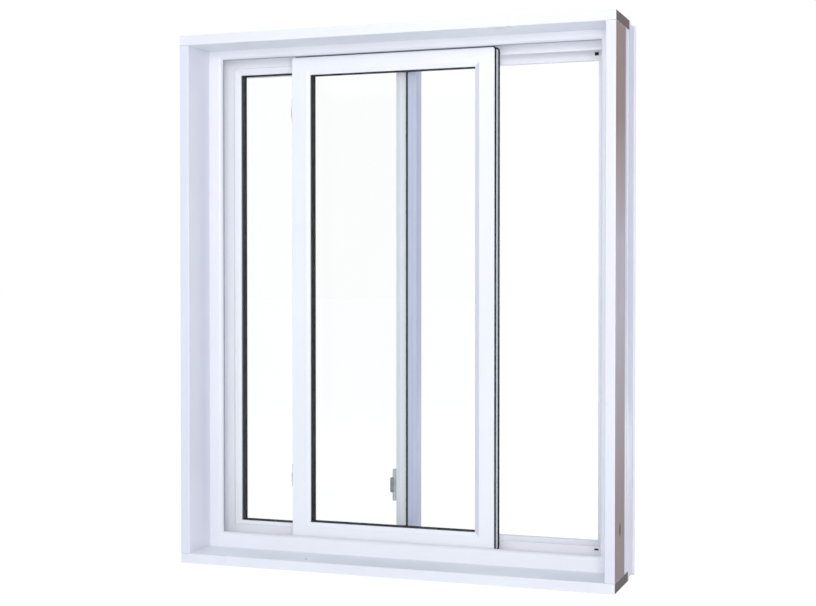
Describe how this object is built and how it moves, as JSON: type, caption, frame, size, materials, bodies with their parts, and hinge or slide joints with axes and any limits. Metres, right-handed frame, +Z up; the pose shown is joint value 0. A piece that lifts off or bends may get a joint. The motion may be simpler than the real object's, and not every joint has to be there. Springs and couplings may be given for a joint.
{
  "type": "horizontal sliding window",
  "caption": "White PVC horizontal sliding window in a wrapped timber jamb box, with a fixed glazed lite and a glazed sash that slides sideways on the room side.",
  "frame": {"origin": "under the middle of the window, on the surface it stands on", "axes": "+X along the width to the right as seen from the room, +Y from the room to the outside, +Z up"},
  "size_m": [0.86, 0.184, 1.03],
  "materials": {
    "bare_timber": "raw sawn softwood, greyed",
    "white_wrap": "smooth satin foil",
    "frame_pvc": "smooth satin extrusion",
    "lite_pvc": "smooth satin extrusion",
    "interlock_pvc": "smooth satin extrusion",
    "glass": "clear float glass",
    "black_spacer": "matt black foam",
    "black_seal": "matt black pile",
    "grey_seal": "matt extruded strip",
    "track_aluminium": "mill extrusion",
    "nylon": "moulded",
    "grey_hardware": "moulded and plated"
  },
  "bodies": {
    "frame": {"fixed_bottom_bead": "lite_pvc", "fixed_bottom_rail": "lite_pvc", "fixed_left_bead": "lite_pvc", "fixed_left_stile": "lite_pvc", "fixed_outer_pane": "glass", "fixed_right_bead": "lite_pvc", "fixed_right_stile": "lite_pvc", "fixed_room_pane": "glass", "fixed_spacer": "black_spacer", "fixed_top_bead": "lite_pvc", "fixed_top_rail": "lite_pvc", "frame_head": "frame_pvc", "frame_left_jamb": "frame_pvc", "frame_lip_seal": "grey_seal", "frame_right_jamb": "frame_pvc", "frame_sill": "frame_pvc", "head_board": "bare_timber", "head_board_wrap": "white_wrap", "latch_keeper": "grey_hardware", "left_board": "bare_timber", "left_board_wrap": "white_wrap", "meeting_interlock": "interlock_pvc", "meeting_seal": "black_seal", "right_board": "bare_timber", "right_board_wrap": "white_wrap", "roller_track": "track_aluminium", "sill_board": "bare_timber", "sill_board_wrap": "white_wrap"},
    "sash": {"sash_bottom_bead": "lite_pvc", "sash_bottom_rail": "lite_pvc", "sash_front_seal": "black_seal", "sash_latches": "grey_hardware", "sash_left_bead": "lite_pvc", "sash_left_stile": "lite_pvc", "sash_outer_pane": "glass", "sash_rear_seal": "black_seal", "sash_right_bead": "lite_pvc", "sash_right_stile": "lite_pvc", "sash_rollers": "nylon", "sash_room_pane": "glass", "sash_spacer": "black_spacer", "sash_top_bead": "lite_pvc", "sash_top_guides": "nylon", "sash_top_rail": "lite_pvc"}
  },
  "joints": [
    {"name": "sash_slide", "type": "slide", "parent": "frame", "child": "sash", "axis": [1, 0, 0], "range_m": [-0.16, 0.215]}
  ]
}
